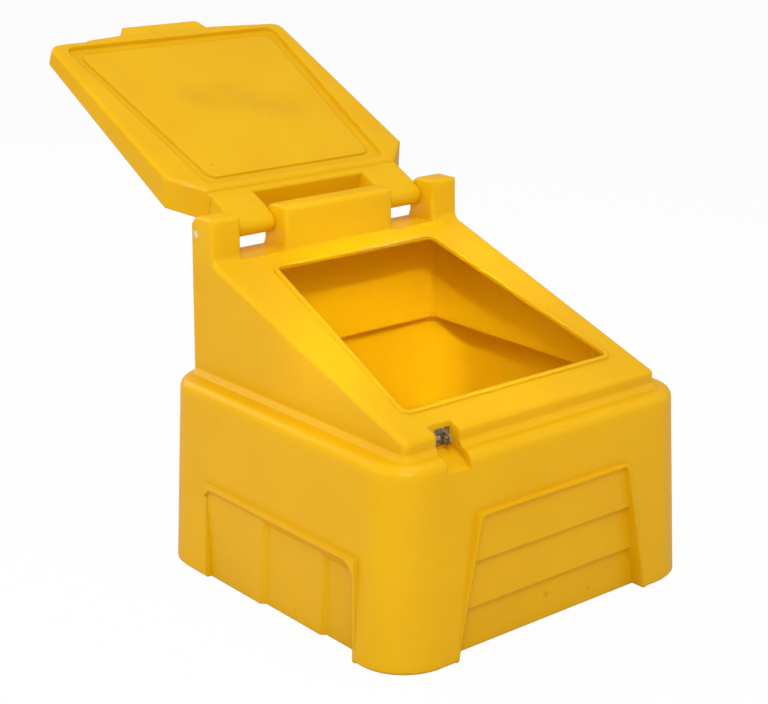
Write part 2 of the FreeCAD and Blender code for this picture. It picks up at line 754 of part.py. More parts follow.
def lid_heel(name):
    """The hinge side of the panel, which leans out towards the skin."""
    body = new_body(name)
    outlines = []
    for part, height, lean in (("under", "(lid_under - lid_edge_round - 0.5)", "0"),
                               ("outer", "(lid_top_back - 4)", "lid_lean")):
        sketch = new_sketch(body, name + "_" + part, "XY_Plane", height)
        ahead, shoulder, root = "(lid_shoulder + 30)", "(lid_shoulder - %s)" % lean, "(lid_neck - %s)" % lean
        polygon(sketch, [("-lid_half", ahead), ("-lid_half", shoulder), ("-lid_neck_half", root),
                         ("lid_neck_half", root), ("lid_half", shoulder), ("lid_half", ahead)])
        outlines.append(sketch)
    loft(body, name + "_depth", *outlines)
    lid_skin(body, "0")
    return body


def lid_ring(body, name, step_out, step_in, low, high):
    """A ring, or with no inner step a block, with the outline of the groove in the underside."""
    sketch = new_sketch(body, name + "_outline", "XY_Plane", low)
    for step in (step_out, step_in):
        if not step:
            continue
        back, front = "(groove_back + %s)" % step, "(groove_front - %s)" % step
        wide, narrow = "(groove_half_front - %s)" % step, "(groove_half_back - %s)" % step
        polygon(sketch, [("-" + wide, front), (wide, front), (narrow, back), ("-" + narrow, back)])
    pad(body, name + "_ring", sketch, "(%s) - (%s)" % (high, low), middle=False)
    rounded(body, name + "_corners", "groove_corner", lambda box: box.XLength < 1 and box.YLength < 1)


def groove(name, low, grow):
    """The groove in the underside that drops over the raised lip, and the sunk field inside it."""
    ring = new_body(name)
    lid_ring(ring, name, "(-%s)" % grow, "(groove_width + %s)" % grow, low, "60")
    field = new_body(name + "_field")
    lid_ring(field, name + "_field", "(groove_width / 2 - %s)" % grow, "", "(lid_centre - %s)" % grow, "60")
    return joined(name + "_room", ring, field)


def dip(name, grow):
    """The dip in the lid's front edge that clears the strap."""
    body = new_body(name)
    sketch = new_sketch(body, name + "_outline", "XY_Plane", "(-60)")
    rectangle(sketch, "(dip_centre - dip_half - %s)" % grow, "(dip_centre + dip_half + %s)" % grow,
              "(dip_face - %s)" % grow, "(lid_reach + 30)")
    pad(body, name + "_pad", sketch, "160", middle=False)
    return body


def lid_neck(name):
    """The lower step behind the panel that carries the two arms."""
    body = new_body(name)
    sketch = new_sketch(body, name + "_side", "YZ_Plane")
    outer = "(%s)" % lid_top("lid_shoulder")
    polygon(sketch, [("(lid_neck + 8)", "neck_under"), ("lid_notch", "neck_under"), ("(lid_notch - notch_lean)", outer),
                     ("(lid_neck + 8)", outer)])
    pad(body, name + "_pad", sketch, "2 * lid_neck_half")
    rounded(body, name + "_edge", "arm_edge_round",
            lambda box: along_x(box) and near(box.YMin, "lid_notch") and near(box.ZMin, "neck_under"))
    return body


def lid_arm(name):
    """One of the two arms that run from the neck down to a barrel."""
    body = new_body(name)
    sketch = new_sketch(body, name + "_side", "YZ_Plane")
    outer = "(%s)" % lid_top("lid_shoulder")
    polygon(sketch, [("0", "barrel_radius"), ("(barrel_radius * 1.3)", "neck_under"), ("(lid_notch + 6)", "neck_under"),
                     ("(lid_notch + 6)", outer), ("(barrel_radius * 1.6)", outer), ("0", "-barrel_radius")])
    pad(body, name + "_web", sketch, "arm_outer - arm_inner")
    hub = new_sketch(body, name + "_hub", "YZ_Plane")
    circle(hub, "0", "0", "barrel_radius")
    pad(body, name + "_barrel", hub, "barrel_outer - barrel_inner")
    return body


def lid_tab(name):
    """The handle that sticks out of the middle of the lid's front edge."""
    body = new_body(name)
    sketch = new_sketch(body, name + "_outline", "XY_Plane", "(lid_under - tab_thick - 3)")
    polygon(sketch, [("-tab_half_root", "(lid_reach - 12)"), ("-tab_half_tip", "(lid_reach + tab_reach)"),
                     ("tab_half_tip", "(lid_reach + tab_reach)"), ("tab_half_root", "(lid_reach - 12)")])
    pad(body, name + "_pad", sketch, "tab_thick", middle=False)
    rounded(body, name + "_corners", "tab_corner",
            lambda box: box.ZLength > 10 and box.XLength < 1 and box.YMin > size("lid_reach") + 20)
    return body


def rod(name, radius, start, end):
    """A cylinder along X between two places."""
    result = doc.addObject("Part::Cylinder", name)
    result.setExpression("Radius", link(radius))
    result.setExpression("Height", link("(%s) - (%s)" % (end, start)))
    result.Placement = FreeCAD.Placement(FreeCAD.Vector(size(start), 0, 0), FreeCAD.Rotation(FreeCAD.Vector(0, 1, 0), 90))
    result.setExpression("Placement.Base.x", link(start))
    return result


def lid_shell():
    panel = lid_panel("lid_panel", "0", "lid_under")
    rounded(panel, "lid_rim", "lid_edge_round", lambda box: flat_at(box, "lid_under"))
    arms = []
    for side, sign in (("left", "-"), ("right", "")):
        arm = lid_arm("arm_" + side)
        arm.setExpression("Placement.Base.x", link(sign + "(arm_outer + arm_inner) / 2"))
        arms.append(arm)
    solid = joined("lid_solid", panel, lid_heel("heel"), lid_neck("neck"), lid_tab("tab"), *arms)
    hollow = lid_panel("lid_inside", "lid_wall", "(lid_under - lid_wall)")
    kept = joined("lid_kept", groove("groove_wall", "(lid_under - groove_deep - lid_wall)", "lid_wall"),
                  dip("dip_wall", "lid_wall"))
    cuts = joined("lid_cuts", cut("lid_space", hollow, kept), groove("groove_cut", "(lid_under - groove_deep)", "0"),
                  dip("dip_cut", "0"), rod("lid_bore", "bore_radius", "-(base_width / 2)", "base_width / 2"),
                  hasp_rivets("lid_rivet_holes", "rivet_hole", "rivet_hole", "0", "20", in_lid))
    lid = cut("lid", solid, cuts)
    on_lid(lid)
    return lid


def staple_rivets(name, radius, head):
    """Two rivets through the staple's plate, the pocket's back wall and the backing plate."""
    rivets = []
    front = "(upper_front - pocket_deep + plate_thick)"
    back = "(upper_front - pocket_deep - wall - backing_thick)"
    for index, side in enumerate(("-", "+")):
        rivet = new_body("%s_%d" % (name, index))
        for part, size_text, start, length in (
                ("shank", radius, back, "%s - %s" % (front, back)),
                ("head", head, front, "rivet_head_thick")):
            sketch = new_sketch(rivet, "%s_%d_%s" % (name, index, part), "XZ_Plane", start)
            circle(sketch, "(staple_centre %s rivet_across)" % side,
                   "((plate_low + plate_high) / 2)", size_text)
            pad(rivet, "%s_%d_%s_pad" % (name, index, part), sketch, length, middle=False)
        rivets.append(rivet)
    return joined(name, *rivets)


def plate(name, face, thick):
    """An upright plate on the pocket's back wall, starting at a distance in front of it."""
    body = new_body(name)
    sketch = new_sketch(body, name + "_outline", "XZ_Plane", face)
    rectangle(sketch, "(staple_centre - plate_width / 2)", "(staple_centre + plate_width / 2)",
              "plate_low", "plate_high")
    pad(body, name + "_pad", sketch, thick, middle=False)
    return body


def staple():
    body = plate("staple_plate", "(upper_front - pocket_deep)", "plate_thick")
    eye = new_body("staple_eye")
    sketch = new_sketch(eye, "staple_eye_side", "YZ_Plane")
    wall_face = "(upper_front - pocket_deep)"
    rectangle(sketch, "-(%s + eye_reach)" % wall_face, "-(%s + 1)" % wall_face, "eye_low", "eye_high")
    pad(eye, "staple_eye_pad", sketch, "eye_thick")
    rounded(eye, "staple_eye_corners", "eye_corner", lambda box: box.XLength > 1 and box.YMax < -size(wall_face) - 10)
    hole = new_sketch(eye, "staple_eye_hole", "YZ_Plane")
    circle(hole, "-(%s + eye_reach - eye_hole_back)" % wall_face, "(eye_low + eye_high) / 2", "eye_hole")
    pocket(eye, "staple_eye_opening", hole)
    eye.setExpression("Placement.Base.x", link("staple_centre"))
    return cut("padlock_staple", joined("staple_solid", body, eye), staple_rivets("staple_holes", "rivet_hole", "rivet_hole"))


def hasp_rivets(name, radius, head, rise, depth, place=on_lid):
    """Two rivets through the hasp's leaf and the lid's outer wall, placed in the world or in the lid's frame."""
    rivets = []
    under = "(%s - leaf_thick)" % LEAF_SEAT
    for index, side in enumerate(("-", "")):
        rivet = new_body("%s_%d" % (name, index))
        for part, size_text, start, length in (
                ("shank", radius, under, depth),
                ("head", head, "(%s - %s)" % (under, rise), rise)):
            if size(length) < NEAR:
                continue
            sketch = new_sketch(rivet, "%s_%d_%s" % (name, index, part), "XY_Plane", start)
            circle(sketch, side + "leaf_rivet_across", "-leaf_rivet", size_text)
            pad(rivet, "%s_%d_%s_pad" % (name, index, part), sketch, length, middle=False)
        on_hasp(rivet, place)
        rivets.append(rivet)
    return joined(name, *rivets)


def hasp_leaf():
    """The hasp's fixed leaf, its own frame on the pin's axis with Z towards the lid's skin."""
    blank = new_body("leaf_blank")
    sketch = new_sketch(blank, "leaf_outline", "XY_Plane", "(%s - leaf_thick)" % LEAF_SEAT)
    rectangle(sketch, "-leaf_half", "leaf_half", "-leaf_length", "0")
    pad(blank, "leaf_pad", sketch, "leaf_thick", middle=False)
    bevelled(blank, "leaf_corners", "leaf_corner", lambda box: box.ZLength > 1 and box.YMax < -20)
    on_hasp(blank)
    barrels = []
    for side, start, end in (("left", "-leaf_half", "-(knuckle_half + knuckle_gap)"),
                             ("right", "(knuckle_half + knuckle_gap)", "leaf_half")):
        barrel = new_body("leaf_knuckle_" + side)
        sketch = new_sketch(barrel, "leaf_knuckle_%s_end" % side, "YZ_Plane", start)
        circle(sketch, "0", "0", "knuckle_radius")
        pad(barrel, "leaf_knuckle_%s_pad" % side, sketch, "%s - (%s)" % (end, start), middle=False)
        on_hasp(barrel)
        barrels.append(barrel)
    room = new_body("leaf_room")
    sketch = new_sketch(room, "leaf_room_end", "YZ_Plane")
    rectangle(sketch, "-(knuckle_radius + 1)", "(knuckle_radius + 1)", "-(knuckle_radius + 1)", "(knuckle_radius + 2)")
    pad(room, "leaf_room_pad", sketch, "2 * (knuckle_half + knuckle_gap)")
    on_hasp(room)
    return cut("hasp_leaf", joined("leaf_solid", blank, *barrels),
               joined("leaf_cuts", room, hasp_pin("leaf_bore", "hasp_pin_bore", "leaf_half + 5"),
                      hasp_rivets("leaf_holes", "rivet_hole", "rivet_hole", "0", "20")))


def hasp_strap():
    """The hasp's bent strap with a slot for the staple's eye, its own frame on the pin's axis."""
    body = new_body("strap_blank")
    side = new_sketch(body, "strap_side", "YZ_Plane")
    half = "strap_thick / 2"
    c, d = "cos(strap_bend * 1 deg)", "sin(strap_bend * 1 deg)"
    mitre = "(%s * tan(strap_bend * 0.5 deg))" % half

    def toe(sign):
        return ("(strap_leg + strap_foot * %s - %s * %s * %s)" % (c, sign, half, d),
                "(strap_foot * %s + %s * %s * %s)" % (d, sign, half, c))

    polygon(side, [("0", "-" + half), ("(strap_leg + %s)" % mitre, "-" + half), toe("-1"), toe("1"),
                   ("(strap_leg - %s)" % mitre, half), ("0", half)])
    pad(body, "strap_pad", side, "2 * strap_half")
    rounded(body, "strap_corners", "strap_corner", lambda box: box.YMin > size("strap_leg + strap_foot * 0.8") and box.XLength < 1)
    slot = new_sketch(body, "strap_slot", "XY_Plane")
    at = "(staple_centre - hasp_centre)"
    rectangle(slot, "(%s - strap_slot_half)" % at, "(%s + strap_slot_half)" % at,
              "(strap_leg + strap_slot_from * %s)" % c, "(strap_leg + strap_slot_to * %s)" % c)
    pocket(body, "strap_slot_cut", slot)
    for name, start, end in (("left", "-strap_half - 1", "-(knuckle_half)"), ("right", "knuckle_half", "strap_half + 1")):
        room = new_sketch(body, "strap_room_" + name, "XY_Plane")
        rectangle(room, "(%s)" % start, "(%s)" % end, "-(knuckle_radius + 1)", "(knuckle_radius + 1)")
        pocket(body, "strap_room_cut_" + name, room)
    barrel = new_body("strap_knuckle")
    sketch = new_sketch(barrel, "strap_knuckle_end", "YZ_Plane")
    circle(sketch, "0", "0", "knuckle_radius")
    pad(barrel, "strap_knuckle_pad", sketch, "2 * knuckle_half")
    strap = cut("hasp_strap", joined("strap_solid", body, barrel), rod("strap_bore", "hasp_pin_bore", "-strap_half", "strap_half"))
    on_lid(strap, "hasp_along", "hasp_under", "hasp_centre", "-hasp_rest * 1 deg")
    return strap


def on_hasp(body, place=on_lid):
    """Places a body on the hasp's pin, Y along the lid's outer skin."""
    place(body, "hasp_along", "hasp_under", "hasp_centre", "atan(%s)" % LEAN)


def hasp_pin(name, radius, half):
    """The hasp's pin, or the bore for it."""
    body = new_body(name)
    sketch = new_sketch(body, name + "_end", "YZ_Plane")
    circle(sketch, "0", "0", radius)
    pad(body, name + "_pad", sketch, "2 * (%s)" % half)
    on_hasp(body)
    return body


def rod_cap(name, turn):
    """A plug that closes one end of the rod's bore, flush with the ear."""
    body = new_body(name)
    sketch = new_sketch(body, name + "_end", "YZ_Plane", "cap_start")
    circle(sketch, "0", "0", "cap_radius")
    pad(body, name + "_pad", sketch, "cap_length", middle=False)
    body.Placement = FreeCAD.Placement(FreeCAD.Vector(), FreeCAD.Rotation(FreeCAD.Vector(0, 0, 1), turn))
    body.setExpression("Placement.Base.y", link("axis_back"))
    body.setExpression("Placement.Base.z", link("axis_height"))
    return body


nodes = {
    "bin_body": bin_shell(),
    "lid": lid_shell(),
    "hinge_rod": bore("hinge_rod", "rod_radius", "rod_half"),
    "rod_cap_left": rod_cap("rod_cap_left", 180),
    "rod_cap_right": rod_cap("rod_cap_right", 0),
    "padlock_staple": staple(),
    "staple_backing": cut("staple_backing", plate("backing_blank", "(upper_front - pocket_deep - wall - backing_thick)",
                                                  "backing_thick"),
                          staple_rivets("backing_holes", "rivet_hole", "rivet_hole")),
    "staple_rivets": staple_rivets("staple_rivets", "rivet_radius", "rivet_head"),
    "hasp_leaf": hasp_leaf(),
    "hasp_pin": hasp_pin("hasp_pin", "hasp_pin_radius", "leaf_half"),
    "hasp_rivets": hasp_rivets("hasp_rivets", "rivet_radius", "leaf_rivet_head", "leaf_rivet_rise",
                               "leaf_thick + lid_wall + leaf_rivet_tail"),
    "hasp_strap": hasp_strap(),
}
doc.recompute()

for thing in doc.Objects:
    if "Invalid" in thing.State or "Error" in thing.State:
        raise SystemExit("%s does not build: %s" % (thing.Name, thing.State))
for name, thing in nodes.items():
    thing.Label = name
    if thing.Shape.isNull() or not thing.Shape.isValid():
        raise SystemExit(name + " has no valid shape")

os.makedirs("parts", exist_ok=True)
for name, thing in nodes.items():
    thing.Shape.exportStep("parts/%s.step" % name)
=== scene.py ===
from math import cos, radians, sin, tan

import bmesh
import bpy
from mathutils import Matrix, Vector


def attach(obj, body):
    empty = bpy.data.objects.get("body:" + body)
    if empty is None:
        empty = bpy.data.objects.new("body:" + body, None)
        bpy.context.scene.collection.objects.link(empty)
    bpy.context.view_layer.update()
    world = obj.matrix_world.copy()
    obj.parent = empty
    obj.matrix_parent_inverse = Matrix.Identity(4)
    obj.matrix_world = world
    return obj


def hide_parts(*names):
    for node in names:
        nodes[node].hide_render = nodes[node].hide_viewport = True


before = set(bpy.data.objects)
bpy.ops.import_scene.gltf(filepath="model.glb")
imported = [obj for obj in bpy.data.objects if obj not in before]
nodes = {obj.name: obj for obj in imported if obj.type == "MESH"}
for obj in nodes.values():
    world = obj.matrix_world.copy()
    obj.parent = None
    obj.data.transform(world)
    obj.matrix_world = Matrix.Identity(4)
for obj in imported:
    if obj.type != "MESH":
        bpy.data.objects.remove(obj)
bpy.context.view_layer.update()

MM = 0.001

# The two colour inputs and the colour output of a mix node, which share their names with others
UNDER = 6
OVER = 7
MIXED = 2


def linear(code):
    """Turns an sRGB hex value into the linear colour that a shader takes."""
    channels = [int(code[i:i + 2], 16) / 255 for i in (1, 3, 5)]
    return [c / 12.92 if c <= 0.04045 else ((c + 0.055) / 1.055) ** 2.4 for c in channels] + [1.0]


def add_node(tree, kind, values):
    """Adds a node. A value is linked to the input of its name or number where it is another node's
    output, set on that input where it is a number or a colour, and is otherwise a setting of the node."""
    node = tree.nodes.new(kind)
    for key, value in values.items():
        if isinstance(value, bpy.types.NodeSocket):
            tree.links.new(value, node.inputs[key])
        elif isinstance(key, int) or key in node.inputs:
            node.inputs[key].default_value = value
        else:
            setattr(node, key, value)
    return node


def new_material(name):
    """A material with an empty node tree."""
    material = bpy.data.materials.new(name)
    material.use_nodes = True
    material.node_tree.nodes.clear()
    return material


def repeats(size):
    """The scale of a pattern whose features are so many millimetres apart, in whole repeats to the metre."""
    return round(1000 / size)


def patchy_colour(tree, pattern, low, high, first, second):
    """A colour that goes from the first to the second as a pattern goes from low to high."""
    share = add_node(tree, "ShaderNodeMapRange", {"Value": pattern, "From Min": low, "From Max": high})
    mix = add_node(tree, "ShaderNodeMix", {"data_type": "RGBA", "Factor": share.outputs["Result"],
                                           UNDER: linear(first), OVER: linear(second)})
    return mix.outputs[MIXED]


def patch_mask(tree, place, patches, edge):
    """A mask that is 1 on round patches and fades to 0 over a share, edge, of each patch's radius.
    A patch is given as x, y, z and radius in millimetres."""
    mask = None
    for x, y, z, radius in patches:
        far = add_node(tree, "ShaderNodeVectorMath", {
            "operation": "DISTANCE", 0: place, 1: Vector((x, y, z)) * MM})
        patch = add_node(tree, "ShaderNodeMapRange", {
            "interpolation_type": "SMOOTHSTEP", "Value": far.outputs["Value"],
            "From Min": radius * MM, "From Max": radius * (1 - edge) * MM}).outputs["Result"]
        if mask is None:
            mask = patch
        else:
            mask = add_node(tree, "ShaderNodeMath", {"operation": "MAXIMUM", 0: mask, 1: patch}).outputs[0]
    return mask


def marked(tree, place, colour, marks):
    """The plastic's colour with its rub or stain, its dirt specks and its pale streaks on it: scratches, and
    on the body's back lip a painted highlight as well.
    """
    # a rub or stain is uneven: over about 45 mm it goes from a quarter of its strength to all of it
    uneven = add_node(tree, "ShaderNodeTexNoise", {"Vector": place, "Scale": repeats(45), "Detail": 3.0})
    worn = add_node(tree, "ShaderNodeMapRange", {
        "Value": uneven.outputs["Fac"], "From Min": 0.3, "From Max": 0.7,
        "To Min": marks["rub_most"] / 4, "To Max": marks["rub_most"]})
    rub = add_node(tree, "ShaderNodeMath", {
        "operation": "MULTIPLY", 0: patch_mask(tree, place, marks["rub"], 1.0), 1: worn.outputs["Result"]})
    rubbed = add_node(tree, "ShaderNodeMix", {
        "data_type": "RGBA", "Factor": rub.outputs[0], UNDER: colour, OVER: linear(marks["rub_colour"])})
    specked = add_node(tree, "ShaderNodeMix", {
        "data_type": "RGBA", "Factor": patch_mask(tree, place, marks["specks"], 1.0),
        UNDER: rubbed.outputs[MIXED], OVER: linear("#CB9B1E")})
    # pale streaks, which are scratches and on the body's back lip also a painted highlight, are drawn out
    # along X, 11 mm long and 2 mm wide
    drawn = add_node(tree, "ShaderNodeMapping", {"Vector": place, "Scale": (1.0, 5.0, 5.0)})
    fine = add_node(tree, "ShaderNodeTexNoise", {
        "Vector": drawn.outputs["Vector"], "Scale": repeats(11.1), "Detail": 3.0})
    streak_share = add_node(tree, "ShaderNodeMapRange", {
        "Value": fine.outputs["Fac"], "From Min": 0.5, "From Max": 0.62, "To Max": 0.75})
    scratch_and_glint_share = add_node(tree, "ShaderNodeMath", {
        "operation": "MULTIPLY", 0: patch_mask(tree, place, marks["scratches_and_glints"], 0.8),
        1: streak_share.outputs["Result"]})
    # the pale colour of the streaks is scratches, and on the body's back lip also a painted highlight of a
    # lamp behind
    return add_node(tree, "ShaderNodeMix", {
        "data_type": "RGBA", "Factor": scratch_and_glint_share.outputs[0],
        UNDER: specked.outputs[MIXED], OVER: linear("#F7E9B4")}).outputs[MIXED]


def moulded_surface(tree, place):
    """The plastic's surface: softened edges, shrink waves and orange peel, as a shading normal."""
    soft = add_node(tree, "ShaderNodeBevel", {"Radius": 5 * MM, "samples": 8})
    # shrink waves about 60 mm long and a few hundredths of a millimetre high
    waves = add_node(tree, "ShaderNodeTexNoise", {"Vector": place, "Scale": repeats(62.5), "Detail": 1.0})
    waved = add_node(tree, "ShaderNodeBump", {
        "Strength": 0.05, "Distance": 1.2 * MM, "Height": waves.outputs["Fac"],
        "Normal": soft.outputs["Normal"]})
    # orange peel: bumps about 1.5 mm across and a hundredth of a millimetre high
    peel = add_node(tree, "ShaderNodeTexNoise", {"Vector": place, "Scale": repeats(1.538), "Detail": 2.0})
    peeled = add_node(tree, "ShaderNodeBump", {
        "Strength": 0.15, "Distance": 0.1 * MM, "Height": peel.outputs["Fac"],
        "Normal": waved.outputs["Normal"]})
    return peeled.outputs["Normal"]


# Rotomoulded polyethylene: pigmented powder melted in an oven against a blasted steel mould and
# cooled slowly. The eye gets a waxy, half-gloss yellow that lets a little light through its wall,
# soft broad highlights that waver where the wall shrank off the mould, a fine orange peel up close,
# and the specks, rubs, pale scratches and rust that such a bin picks up in a yard. On the back lip
# the pale scratches also carry a painted highlight.
def rotomoulded_polyethylene(name, deep, full, marks):
    material = new_material(name)
    tree = material.node_tree
    place = add_node(tree, "ShaderNodeTexCoord", {}).outputs["Object"]
    cloud = add_node(tree, "ShaderNodeTexNoise", {
        "Vector": place, "Scale": repeats(143), "Detail": 4.0, "Roughness": 0.55}).outputs["Fac"]
    # grains of undispersed pigment, about 2 mm across and a few to the square metre
    grain = add_node(tree, "ShaderNodeTexVoronoi", {"Vector": place, "Scale": repeats(91)})
    dot = add_node(tree, "ShaderNodeMapRange", {
        "Value": grain.outputs["Distance"], "From Min": 0.016, "From Max": 0.009, "To Max": 0.45})
    pigment = add_node(tree, "ShaderNodeMix", {
        "data_type": "RGBA", "Factor": dot.outputs["Result"],
        UNDER: patchy_colour(tree, cloud, 0.36, 0.62, deep, full), OVER: linear("#8A6420")})
    gloss = add_node(tree, "ShaderNodeMapRange", {
        "Value": cloud, "From Min": 0.3, "From Max": 0.7, "To Min": 0.28, "To Max": 0.36})
    normal = moulded_surface(tree, place)
    skin = add_node(tree, "ShaderNodeBsdfPrincipled", {
        "IOR": 1.51, "Specular IOR Level": 0.2, "Roughness": gloss.outputs["Result"], "Normal": normal,
        "Base Color": marked(tree, place, pigment.outputs[MIXED], marks)})
    through = add_node(tree, "ShaderNodeBsdfTranslucent", {"Color": linear("#FAD232"), "Normal": normal})
    wall = add_node(tree, "ShaderNodeMixShader", {
        "Fac": 0.4, 1: skin.outputs["BSDF"], 2: through.outputs["BSDF"]})
    add_node(tree, "ShaderNodeOutputMaterial", {"Surface": wall.outputs["Shader"]})
    return material


# Zinc-plated steel: pressed sheet, barrel plated. The eye gets a grey with dull patches, brighter
# where it is rubbed, and small pits.
def zinc_plated_steel(name):
    material = new_material(name)
    tree = material.node_tree
    place = add_node(tree, "ShaderNodeTexCoord", {}).outputs["Object"]
    patches = add_node(tree, "ShaderNodeTexNoise", {
        "Vector": place, "Scale": repeats(6.25), "Detail": 4.0}).outputs["Fac"]
    gloss = add_node(tree, "ShaderNodeMapRange", {
        "Value": patches, "From Min": 0.3, "From Max": 0.7, "To Min": 0.5, "To Max": 0.3})
    pits = add_node(tree, "ShaderNodeTexNoise", {"Vector": place, "Scale": repeats(1.111), "Detail": 2.0})
    bump = add_node(tree, "ShaderNodeBump", {
        "Strength": 0.2, "Distance": 0.05 * MM, "Height": pits.outputs["Fac"]})
    shader = add_node(tree, "ShaderNodeBsdfPrincipled", {
        "Metallic": 1.0, "Base Color": patchy_colour(tree, patches, 0.35, 0.65, "#6E6A62", "#B9B6AE"),
        "Roughness": gloss.outputs["Result"], "Normal": bump.outputs["Normal"]})
    add_node(tree, "ShaderNodeOutputMaterial", {"Surface": shader.outputs["BSDF"]})
    return material


# Aluminium rivet: drawn and set cold. The eye gets a bright head with a faint brushed bloom.
def rivet_aluminium(name):
    material = new_material(name)
    tree = material.node_tree
    place = add_node(tree, "ShaderNodeTexCoord", {}).outputs["Object"]
    bloom = add_node(tree, "ShaderNodeTexNoise", {
        "Vector": place, "Scale": repeats(2.5), "Detail": 3.0}).outputs["Fac"]
    gloss = add_node(tree, "ShaderNodeMapRange", {
        "Value": bloom, "From Min": 0.3, "From Max": 0.7, "To Min": 0.22, "To Max": 0.35})
    shader = add_node(tree, "ShaderNodeBsdfPrincipled", {
        "Metallic": 1.0, "Base Color": patchy_colour(tree, bloom, 0.3, 0.7, "#C9CACC", "#EDEDEE"),
        "Roughness": gloss.outputs["Result"]})
    add_node(tree, "ShaderNodeOutputMaterial", {"Surface": shader.outputs["BSDF"]})
    return material


# Moulded nylon: natural, undyed. The eye gets a milky off-white, slightly yellow in the thick.
def natural_nylon(name):
    material = new_material(name)
    tree = material.node_tree
    place = add_node(tree, "ShaderNodeTexCoord", {}).outputs["Object"]
    milk = add_node(tree, "ShaderNodeTexNoise", {
        "Vector": place, "Scale": repeats(8.33), "Detail": 2.0}).outputs["Fac"]
    grain = add_node(tree, "ShaderNodeBump", {"Strength": 0.15, "Distance": 0.05 * MM, "Height": milk})
    shader = add_node(tree, "ShaderNodeBsdfPrincipled", {
        "Roughness": 0.45, "IOR": 1.53, "Normal": grain.outputs["Normal"],
        "Base Color": patchy_colour(tree, milk, 0.3, 0.7, "#D2B679", "#E2CB98")})
    add_node(tree, "ShaderNodeOutputMaterial", {"Surface": shader.outputs["BSDF"]})
    return material


# The marks that use has left, each a round patch given as x, y, z and radius in millimetres.
# On the body: rust that has run down under the staple, dirt specks on the left side and the front's
# lowest panel, and scratches on the opening's back lip, whose pale streaks there are also a painted
# highlight.
BODY_MARKS = {
    "rub": [(-192, -283, 359, 8), (-193, -288, 358, 7), (-194, -293, 356, 5)],
    "rub_colour": "#C8561A",
    "rub_most": 0.9,
    "specks": [(-353.7, 167.4, 317.2, 4), (-352.6, 69.7, 338.5, 3), (-348.4, 122.6, 31.7, 5),
               (-348.9, -55.7, 20.6, 3.5), (-349.3, -82.8, 13.3, 3.5), (3.7, -334.6, 45.8, 9),
               (110.5, -335.7, 25.6, 7)],
    # the back lip's scratches, painted pale there also as the highlight of a lamp behind
    "scratches_and_glints": [(20, 199, 574, 9), (38, 199, 575, 9), (56, 199, 575, 10), (76, 199, 576, 10),
                  (95, 199, 576, 9), (113, 199, 576, 8), (134, 199, 577, 9), (156, 202, 578, 8),
                  (176, 204, 578, 7)],
}
# On the lid's underside: a grey rub in the middle, a speck nearer the hinge, and scratches at the
# near corner.
LID_MARKS = {
    "rub": [(-60, 636, 825, 75), (-12, 616, 816, 95), (35, 600, 808, 75), (95, 565, 791, 75)],
    "rub_colour": "#BC982A",
    "rub_most": 0.34,
    "specks": [(-167.2, 433.8, 728.1, 5)],
    "scratches_and_glints": [(-252, 385, 708, 8), (-236, 388, 706, 6), (-219, 391, 705, 7), (-200, 393, 705, 5)],
}

body_plastic = rotomoulded_polyethylene("rotomoulded polyethylene, body", "#EEC20C", "#F1C60E", BODY_MARKS)
lid_plastic = rotomoulded_polyethylene("rotomoulded polyethylene, lid", "#EFC30C", "#F2C80E", LID_MARKS)
steel = zinc_plated_steel("zinc-plated steel")
aluminium = rivet_aluminium("set aluminium rivet")
nylon = natural_nylon("natural moulded nylon")

finishes = {
    "bin_body": body_plastic, "lid": lid_plastic, "hinge_rod": steel, "rod_cap_left": nylon,
    "rod_cap_right": nylon, "padlock_staple": steel, "staple_backing": steel, "staple_rivets": aluminium,
    "hasp_leaf": steel, "hasp_pin": steel, "hasp_rivets": aluminium, "hasp_strap": steel,
}
for name, material in finishes.items():
    slots = nodes[name].data.materials
    slots.clear()
    slots.append(material)


# The ears and the centre block stand up from the slope as three horns. In the photograph their
# crests roll over to the back on a 30 mm round, and their sides meet the crest on an 8 mm round,
# because an oven-moulded skin doesn't fill a sharp corner. All sizes here are in millimetres, and
# turns are in degrees. HORNS holds the x of each horn's two sides. HORN_FRONT is a y at the foot of
# their fronts, HORN_FLOOR the level of the shelf between them and HORN_TOP their crests'. HORN_BACK is
# the y of their back at the crest, and HORN_BACK_LEAN how much further back it is per millimetre down.
# CROWN and SIDE_ROUND are the two radii, and over RUN_OUT the side round grows to its own.
HORNS = ((-298.1, -232), (-130.5, 130.5), (232, 298.1))
HORN_FRONT = 243
HORN_FLOOR = 589
HORN_TOP = 671
HORN_BACK = 319.6
HORN_BACK_LEAN = 0.9 / 82
CROWN = 30
SIDE_ROUND = 8
RUN_OUT = 12
ROUNDED_FROM = HORN_FLOOR + RUN_OUT

# Flats that touch the crown's round, by how far each is turned up from the back
CROWN_TURNS = (9, 27, 45, 63, 81)
# Rows of edges on the side round, by how far round it they end up. The horn's own edge is at 45.
SIDE_TURNS = (0, 15, 30)
# A side leans, so its points may lie up to this far outside its line in HORNS
LEAN = 3
# A point this near the horns' floor or the first cut counts as on it
ON_FLOOR = 0.5
ON_CUT = 0.1
# The rows of edges round the crown are cut in faces down to this far below it
BELOW_CROWN = 20
# Where the direction out of a crest points back by more than this, it counts as the upright back
UPRIGHT = 0.9
# Corners nearer to each other than this are merged: first all of them, which closes the CAD mesh's
# loose triangles, and then those of the rounded horns
WELD = 0.01
SLIVER = 0.03
# A corner this near a cutting plane lies on it
ON_PLANE = 0.001
# An edge that turns more than this stays sharp in the shading
SHARP_ANGLE = 32


def crest_depth(place):
    """How deep a point lies under the rolled crest, and the direction out of it."""
    back = HORN_BACK + (HORN_TOP - place.z) * HORN_BACK_LEAN
    arm = Vector((0, place.y - back + CROWN, place.z - HORN_TOP + CROWN))
    if arm.y > 0 and arm.z > 0:
        return CROWN - arm.length, arm.normalized()
    if arm.y > arm.z:
        return back - place.y, Vector((0, 1, 0))
    return HORN_TOP - place.z, Vector((0, 0, 1))


